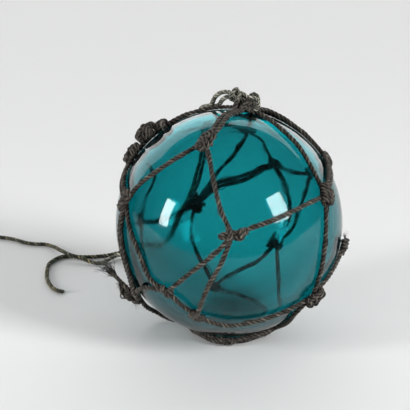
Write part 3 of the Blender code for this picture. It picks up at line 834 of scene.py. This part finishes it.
TIED = {
    "left_shoulder_high": tangle(5.8, 4.0, 2.8),
    "left_shoulder": tangle(5.8, 4.2, 4.0),
    "left_shoulder_low": tangle(6.8, 4.4, 3.5),
    "right_shoulder": [[(a + 0.7, b, c) for a, b, c in line] for line in tangle(4.0, 2.5, 2.1)],
    "lower": tangle(3.8, 3.0, 2.3),
    "centre": [
        [(3.4, 0.9, 1.0), (0.0, 1.1, 1.8), (-4.4, 0.9, 1.9), (-6.6, 0.0, 1.4), (-4.4, -0.95, 1.2),
         (0.2, -1.3, 1.2), (3.0, -2.6, 1.2), (5.6, -2.4, 0.4)],
        [(-2.0, 4.2, 0.2), (-1.3, 2.2, 2.4), (-1.0, 0.2, 3.2), (-1.6, -1.9, 2.4), (-3.0, -3.8, 0.3)],
        wraps(3.9, 7.4, 2.6, 1.5, 2.6, 0.6, 0.3),
    ],
    "upper": [
        [(6.6, 0.6, 0.4), (4.2, 1.6, 2.0), (0.2, 1.3, 2.8), (-4.0, 0.8, 2.6), (-7.2, -0.6, 1.4)],
        [(6.4, -1.8, 0.6), (3.4, -1.6, 3.0), (-0.4, -1.2, 3.9), (-4.2, -1.8, 3.4), (-7.4, -2.6, 1.2)],
        [(4.4, 2.2, 0.6), (5.2, 0.2, 3.4), (4.4, -2.2, 3.6), (3.2, -3.9, 1.0)],
        [(-0.6, 2.2, 0.4), (1.2, 0.8, 3.8), (2.0, -1.4, 4.4), (0.8, -3.6, 2.8), (-1.2, -4.4, 0.4)],
        [(-3.0, 2.2, 0.4), (-1.8, 0.4, 3.9), (-1.4, -1.8, 4.3), (-2.4, -4.2, 0.7)],
        [(-5.4, 2.4, 0.4), (-4.6, 0.2, 3.4), (-4.4, -2.2, 3.8), (-5.4, -4.0, 0.6)],
    ],
    "left": [
        [(5.4, 2.8, 0.3), (5.9, 0.6, 2.3), (5.4, -1.6, 2.3), (4.4, -3.0, 0.4)],
        [(5.2, 1.2, 0.8), (2.0, 2.0, 1.8), (-2.4, 1.9, 2.0), (-6.2, 1.2, 1.2)],
        [(4.8, -0.8, 1.2), (1.6, -0.2, 2.9), (-2.4, 0.8, 3.1), (-5.6, 2.0, 1.4)],
        [(4.6, -2.6, 0.8), (1.2, -3.0, 1.8), (-3.0, -2.6, 2.1), (-6.4, -1.2, 1.2)],
        [(4.9, -1.9, 1.6), (1.4, -1.7, 3.0), (-1.8, -1.2, 3.2), (-4.2, -0.2, 2.4)],
        [(-4.8, 2.8, 0.4), (-3.4, 1.0, 3.3), (-1.2, -1.2, 3.3), (0.6, -3.2, 0.6)],
    ],
    "right": [
        wraps(-4.8, 4.6, 4.5, 3.0, 3.8, 0.9, 1.0),
        [(4.8, -1.0, 1.6), (2.6, -3.6, 2.6), (-1.0, -4.6, 2.0), (-3.6, -2.8, 1.4), (-4.6, 0.0, 0.6)],
    ],
    "lower_right": [
        [(5.6, 2.6, 0.4), (4.4, 0.0, 3.6), (2.6, -3.2, 2.4), (1.0, -4.4, 0.2)],
        [(-5.6, 1.6, 0.4), (-3.2, 3.0, 2.2), (1.0, 3.4, 2.6), (4.8, 2.2, 2.2), (5.8, -0.6, 1.0)],
        [(-5.8, -0.8, 1.0), (-3.4, -1.0, 3.0), (0.4, 0.4, 4.0), (3.4, 2.2, 3.2), (5.0, 4.0, 0.6)],
        [(-1.6, 4.2, 0.4), (-1.4, 1.8, 3.6), (-1.8, -1.6, 4.0), (-2.4, -4.2, 0.8)],
        [(-4.6, 3.4, 0.4), (-4.2, 1.0, 3.2), (-4.4, -1.6, 3.0), (-4.8, -3.6, 0.6)],
    ],
    "bottom": [
        [(5.6, 0.6, 0.6), (3.6, -1.0, 1.6), (0.4, -1.6, 2.0), (-3.0, -1.4, 1.8), (-5.8, 0.2, 0.9)],
        [(-4.6, 1.9, 0.3), (-3.0, 0.4, 2.3), (-1.6, -2.2, 1.6), (-0.6, -2.8, 0.1)],
        [(-0.4, 2.2, 0.3), (1.2, 0.6, 2.4), (2.6, -1.8, 1.8), (3.4, -2.8, 0.1)],
        [(4.8, 1.8, 0.2), (1.6, 1.8, 1.4), (-2.2, 1.8, 1.4), (-5.0, 1.4, 0.4)],
        [(-0.8, -1.4, 0.4), (-5.4, -1.6, 1.2), (-10.2, 1.6, 1.5), (-15.0, 7.6, 1.6), (-19.4, 15.2, 0.5)],
        [(-2.0, 0.4, 0.8), (-6.8, 0.8, 2.6), (-11.0, 4.2, 2.8), (-15.6, 10.2, 2.0), (-18.2, 15.0, 0.3)],
    ],
    "crown": [
        wraps(-5.6, 4.4, 3.5, 3.0, 2.4, 0.8),
        [(6.4, 1.2, 0.2), (3.6, 3.2, 1.4), (-1.0, 3.4, 1.6), (-5.6, 2.0, 0.6)],
    ],
    "left_crossing": [
        [(-3.4, 1.6, 0.2), (-1.2, 1.2, 1.8), (1.2, -0.6, 2.2), (3.0, -1.8, 0.4)],
        [(3.2, 1.6, 0.2), (0.8, 1.4, 1.2), (-1.4, -1.2, 1.2), (-3.0, -1.6, 0.2)],
    ],
}


def add_heart(name):
    """The twine pressed together inside a knot, seen only between its wraps and painted darker there as
    shade.
    """
    half_length, half_width, half_height = KNOTS[name][2] if name in KNOTS else BOTTOM_KNOT_SIZE
    thick = 2 * min(half_width, half_height) - 1.6
    reach = max(half_length - 1.4, 1.0)
    low, high, half = thick / 2 - 1.4, thick / 2 - 1.1, thick / 2 * MM
    path = smooth_path(on_knot(name, [(-reach, 0.0, low), (0.0, 0.0, high), (reach, 0.0, low)]), 0.0006)
    path = kept_clear(path, BALL_RADIUS + GAP + half, half)
    add_rope(net_half(path), path, thick * MM, 0.002, 0.002, painted_shade=0.5)


for name in [*KNOTS, "bottom"]:
    lines = TIED[name] if name in TIED else plain_knot(*KNOTS[name][2])
    add_heart(name)
    for spots in lines:
        path = smooth_path(on_knot(name, spots), 0.00045)
        path = kept_clear(path, BALL_RADIUS + GAP - PRESSED + KNOT_TWINE / 2, KNOT_TWINE / 2)
        add_rope(net_half(path), path, KNOT_TWINE, uneven=0.13)
        add_fuzz(net_fuzz, path, KNOT_TWINE, 0.0008, 0.0022)

# Frayed ends at the left low knot and the right limb's, and loose hairs at the right and back top ones
loose_tip = on_ball(*LOOSE_END)
left_low = knot_place("left_low")
brush_root = loose_tip + (left_low - loose_tip) * 0.30
add_frayed_end(net_fuzz, brush_root, loose_tip - left_low, 64, 0.0155, 0.115, 0.00024, 0.35)
add_frayed_end(net_fuzz, loose_tip, loose_tip - left_low, 18, 0.0075, 0.40, 0.00012, 0.35)
SECOND_STUB = [(-1.6, -0.8, -1.0), (-6.9, -1.0, 1.4), (-9.0, -0.4, 4.0), (-10.2, 0.2, 7.0)]
second = smooth_path([left_low + np.array(spot) * MM for spot in SECOND_STUB])
add_rope(net_front, second, NET_CORD * 1.35, end_taper=0.003, uneven=0.30)
add_loose_yarns(net_yarns, second, NET_CORD * 1.6, 0.0005, 0.005)
for place in second[2::2]:
    add_frayed_end(net_fuzz, place, (-0.6, -0.4, 0.1), 12, 0.0030, 0.8, 0.00011, 0.7)
add_frayed_end(net_fuzz, second[-1], second[-1] - left_low, 44, 0.0036, 0.5, 0.00016, 0.7)
add_frayed_end(net_fuzz, left_low - 2.0 * MM, (0.2, -0.2, -0.8), 26, 0.0075, 0.5, 0.00006, 0.6)
add_frayed_end(net_fuzz, knot_place("right"), (0.9, -0.1, 0.3), 8, 0.0140, 0.25, 0.00005)
limb_end = smooth_path(on_knot("right_limb", [(1.0, 0.0, 1.8), (4.0, 0.2, 1.0), (6.6, -0.4, 0.5)]))
add_rope(net_front, limb_end, 0.0023, end_taper=0.005)
add_frayed_end(net_fuzz, limb_end[-3], limb_end[-1] - limb_end[-5], 14, 0.0038, 0.35, 0.00009)
add_frayed_end(net_fuzz, knot_place("back_top"), (-0.8, 0.2, -0.5), 70, 0.0100, 0.60, 0.00014)
add_frayed_end(net_fuzz, knot_place("back_top"), (-1.0, 0.1, 0.1), 16, 0.0240, 0.14, 0.00014)

# A little lint and dust that clings to the front of the glass
LINT_PIECES = 42
LINT_HALF_THICKNESS = 0.00009
LINT_LIFT = 0.00014

lint = Shape()
for _ in range(LINT_PIECES):
    longitude, latitude = chance.uniform(-62, 62), chance.uniform(-34, 52)
    turn, size = chance.uniform(0, math.tau), chance.uniform(0.2, 1.5) ** 1.6
    spots = []
    for share in (0.0, 0.5, 1.0):
        way = turn + chance.uniform(-0.4, 0.4) * share
        along, up = size * share * math.cos(way), size * share * math.sin(way)
        spots.append(on_ball(longitude + along, latitude + up))
    arms = smooth_path(spots, 0.0003) - BALL_CENTRE
    arms /= np.linalg.norm(arms, axis=1, keepdims=True)
    line = BALL_CENTRE + arms * (BALL_RADIUS + LINT_LIFT)
    add_yarn(lint, line, np.full(len(line), LINT_HALF_THICKNESS), 4)
rest(lint.build("lint_on_glass", lashing_twine), "lashing_twine")

rest(net_front.build("net_front", tarred_twine), "tarred_twine", "net", "net_slack_cord")
rest(net_back.build("net_back", tarred_twine), "tarred_twine")
rest(net_fuzz.build("net_fibres", tarred_twine), "tarred_twine")
rest(net_yarns.build("net_loose_yarns", tarred_twine), "tarred_twine")


# -------- the lashing on the crown, in mm

LASHING = [
    [(0.9, 9.4, 131.6), (1.3, 8.0, 134.6), (2.4, 8.2, 137.2), (3.8, 9.4, 138.0), (5.2, 9.0, 136.4),
     (5.3, 8.2, 133.6), (4.4, 8.8, 131.4)],
    [(0.2, 12.0, 135.4), (1.6, 8.6, 135.0), (3.4, 7.0, 134.0), (5.6, 7.4, 132.4), (7.0, 9.8, 131.6)],
    [(0.2, 13.0, 132.4), (1.8, 10.0, 131.8), (3.8, 7.4, 132.0), (5.6, 7.2, 134.2), (6.6, 9.6, 135.8)],
    [(2.2, 12.6, 133.4), (3.4, 12.2, 136.4), (4.6, 10.8, 137.6)],
    [(4.8, 10.8, 135.4), (6.6, 9.0, 135.8), (8.6, 8.2, 135.0), (10.2, 8.4, 133.2), (10.4, 10.8, 131.8)],
    [(5.2, 7.8, 132.9), (7.4, 6.6, 132.8), (9.6, 6.6, 131.9), (11.6, 7.2, 130.8)],
    [(4.4, 8.4, 130.8), (6.8, 7.2, 130.6), (9.0, 7.4, 131.1), (10.4, 9.2, 132.6)],
    [(9.0, 10.4, 132.2), (10.8, 7.6, 133.4), (13.0, 6.4, 134.0), (15.0, 6.4, 133.0), (16.2, 6.2, 130.8),
     (15.6, 5.2, 128.4), (13.6, 3.8, 127.4), (11.8, 4.0, 127.8)],
    [(10.6, 9.0, 130.4), (12.0, 6.2, 131.8), (13.6, 5.0, 131.2), (14.2, 4.6, 129.4), (13.2, 4.4, 128.2)],
    [(11.0, 12.0, 132.6), (13.4, 11.0, 134.6), (15.6, 9.8, 133.8), (16.0, 9.8, 131.4), (14.6, 11.2, 130.6)],
]
# Painted shade for each line of the lashing, darker for the lines lying deeper among the others
LASHING_PAINTED_SHADES = (1.0, 0.95, 0.80, 0.75, 0.95, 0.70, 0.55, 1.0, 0.55, 0.85)
LASHING_HEART = [(2.8, 10.6, 134.0), (8.0, 10.0, 132.8), (13.6, 8.8, 131.8)]
DARK_LEGS = [
    [(2.6, 5.2, 127.4), (3.4, 5.8, 130.2), (4.6, 7.4, 132.4), (4.6, 11.6, 133.0), (3.2, 15.0, 129.8)],
    [(7.0, 3.6, 127.2), (8.2, 4.4, 129.6), (9.6, 4.8, 131.8), (10.8, 7.4, 132.8), (10.8, 13.6, 130.4)],
    [(9.2, 3.6, 127.2), (10.6, 4.2, 129.2), (11.8, 4.8, 131.0), (12.8, 7.8, 131.8), (12.8, 13.2, 130.0)],
    [(5.8, 4.6, 128.0), (8.8, 5.0, 129.2), (12.4, 5.0, 128.8), (15.4, 7.2, 128.6)],
]

lashing_shape, lashing_fuzz = Shape(), Shape()
for spots, painted_shade in zip(LASHING, LASHING_PAINTED_SHADES):
    path = path_in_mm(spots, 0.0004)
    add_rope(lashing_shape, path, TAIL_CORD * 0.94, uneven=0.14, painted_shade=painted_shade, worn=0.15)
    add_fuzz(lashing_fuzz, path, TAIL_CORD, 0.0010, 0.0016)
# The lashing's heart, painted very dark as the shade between its loops
add_rope(lashing_shape, path_in_mm(LASHING_HEART, 0.0006), 0.0042, 0.002, 0.002, painted_shade=0.15)
leg_shape = Shape()
for spots in DARK_LEGS:
    path = kept_clear(path_in_mm(spots, 0.0004), NET_ON_GLASS, NET_ON_FLOOR)
    add_rope(leg_shape, path, KNOT_TWINE, uneven=0.09)
rest(lashing_shape.build("crown_lashing_twine", lashing_twine), "lashing_twine", "crown_lashing")
rest(lashing_fuzz.build("crown_lashing_fibres", lashing_twine), "lashing_twine")
rest(leg_shape.build("net_crown_legs", tarred_twine), "tarred_twine")


# -------- the glass ball

WALL_CELLS = 72
CAVITY_RADIUS = 0.0585
CAVITY_MIDDLE = BALL_CENTRE + (0.0004, 0.0, 0.0006)

# The wall's unevenness: its height, its first wave, the wave to stop before, and how close they follow
OUTSIDE_WAVES = (0.00007, 0, 7, 5.0)
INSIDE_WAVES = [(0.00040, 2, 7, 2.6), (0.00004, 0, 3, 9.0), (0.00002, 1, 6, 46.0)]
WAVES = []
for _ in range(7):
    WAVES.append((chance.uniform(0, math.tau), chance.uniform(0, math.tau), chance.uniform(-1, 1)))

# Seed bubbles in the glass: longitude, latitude and radius in mm
BUBBLE_DEPTH = 0.0026
BUBBLES = [(-26, 19, 0.55), (-1, 35, 0.35), (12, 8, 0.25), (34, 2, 0.30), (-44, 8, 0.28), (6, -28, 0.35)]
for _ in range(36):
    BUBBLES.append((chance.uniform(-180, 180), chance.uniform(-60, 80), chance.uniform(0.10, 0.30)))


def round_grid(cells):
    """Unit directions over a whole ball and the faces between them, as six curved squares."""
    ways, faces = [], []
    found = {}

    def corner(spot):
        key = tuple(round(value, 6) for value in spot)
        if key not in found:
            found[key] = len(ways)
            ways.append(unit(np.tan(np.array(spot) * math.pi / 4)))
        return found[key]

    for axis, side, row, column in product(range(3), (-1, 1), range(cells), range(cells)):
        square = []
        for right, up in ((0, 0), (1, 0), (1, 1), (0, 1)):
            spot = [0.0, 0.0, 0.0]
            spot[axis] = side
            spot[(axis + 1) % 3] = 2 * (column + right) / cells - 1
            spot[(axis + 2) % 3] = 2 * (row + up) / cells - 1
            square.append(corner(spot))
        faces.append(square if side > 0 else square[::-1])
    return np.array(ways), faces


def waves(ways, height, first, stop, frequency):
    """Soft unevenness over a ball, up to about its height."""
    total = np.zeros(len(ways))
    for turn, aside, tilt in WAVES[first:stop]:
        total += np.sin(frequency * ways @ unit((math.cos(turn), math.sin(turn), tilt)) + aside)
    return height * (total / (stop - first))[:, None]


def build_glass(material):
    ways, faces = round_grid(WALL_CELLS)
    outside = BALL_CENTRE + ways * (BALL_RADIUS + waves(ways, *OUTSIDE_WAVES))
    outside[:, 2] = np.maximum(outside[:, 2], 0.0)
    inside = CAVITY_MIDDLE + ways * (CAVITY_RADIUS + sum(waves(ways, *uneven) for uneven in INSIDE_WAVES))
    points, polygons = [outside, inside], list(faces)
    polygons += [[index + len(ways) for index in reversed(face)] for face in faces]
    count = 2 * len(ways)
    seed_ways, seed_faces = round_grid(4)
    for longitude, latitude, size in BUBBLES:
        centre = BALL_CENTRE + direction(longitude, latitude) * (BALL_RADIUS - BUBBLE_DEPTH)
        points.append(centre + seed_ways * size * MM)
        polygons += [[index + count for index in reversed(face)] for face in seed_faces]
        count += len(seed_ways)
    return mesh_piece("glass_wall", np.vstack(points).tolist(), polygons, material)


glass = Nodes("teal_glass")
# Clear and shiny, with a dull film and smears in patches from handling
glass_place = glass.add("ShaderNodeTexCoord").outputs["Object"]
smears = glass.noise(glass.stretched(glass_place, (1.0, 1.0, 0.3)), 210.0, 5.0, 0.72)
smudged = glass.weighted(0.0, (smears, 1.0), (glass.noise(glass_place, 34.0, 2.0), 0.6))
put(glass.shader, Roughness=glass.ramp(smudged, (0.76, 0.012), (1.0, 0.13)))
put(glass.shader, Base_Color=(1.0, 1.0, 1.0, 1.0), Transmission_Weight=1.0, IOR=1.52)
put(glass.shader, Specular_Tint=(0.47, 0.51, 0.51, 1.0))
absorption = glass.add("ShaderNodeVolumeAbsorption")
put(absorption, Color=(0.05, 0.765, 0.785, 1.0), Density=560.0)
put(glass.output, Volume=absorption.outputs["Volume"])
rest(build_glass(glass.material), "teal_glass", "glass_ball")


# -------- floor, backdrop and light

PAPER_COLOUR = (0.80, 0.805, 0.80, 1.0)
BACKDROP_GLOW = 1.40


def add_sheet(name, corners, glow=0.0):
    """A flat sheet of matt pale paper."""
    paper = Nodes(name + "_paper")
    put(paper.shader, Base_Color=PAPER_COLOUR, Roughness=0.7, Specular_IOR_Level=0.2)
    put(paper.shader, Emission_Strength=glow)
    mesh_piece(name, corners, [(0, 1, 2, 3)], paper.material, smooth=False)


add_sheet("floor", [(-3.4, -0.30, 0), (3.4, -0.30, 0), (3.4, 2.4, 0), (-3.4, 2.4, 0)])
add_sheet("backdrop", [(-3.4, 2.4, 0), (3.4, 2.4, 0), (3.4, 2.6, 2.6), (-3.4, 2.6, 2.6)], BACKDROP_GLOW)


def add_softbox(name, way, distance, width, height, power, seen=True):
    light = in_scene(name, bpy.data.lights.new(name, "AREA"))
    light.data.shape = "RECTANGLE"
    light.data.size, light.data.size_y = width, height
    light.data.energy = power
    light.location = BALL_CENTRE + unit(way) * distance
    light.rotation_euler = Vector(way).to_track_quat("Z", "Y").to_euler()
    light.visible_glossy = seen


add_softbox("softbox_left", (-0.88, -0.33, 0.27), 1.6, 0.30, 0.62, 17.0)
add_softbox("softbox_right", (0.731, -0.503, 0.425), 1.6, 0.48, 0.68, 24.0)
add_softbox("front_fill", (-0.4, -0.7, 1.3), 2.0, 2.2, 1.8, 4.4, seen=False)
add_softbox("floor_light", (0.1, 1.75, 1.25), 2.0, 3.0, 2.2, 10.0, seen=False)

world = bpy.data.worlds.new("room")
world.use_nodes = True
put(world.node_tree.nodes["Background"], Color=(0.93, 0.97, 1.0, 1.0), Strength=0.10)
bpy.context.scene.world = world
bpy.context.scene.view_settings.view_transform = "Standard"
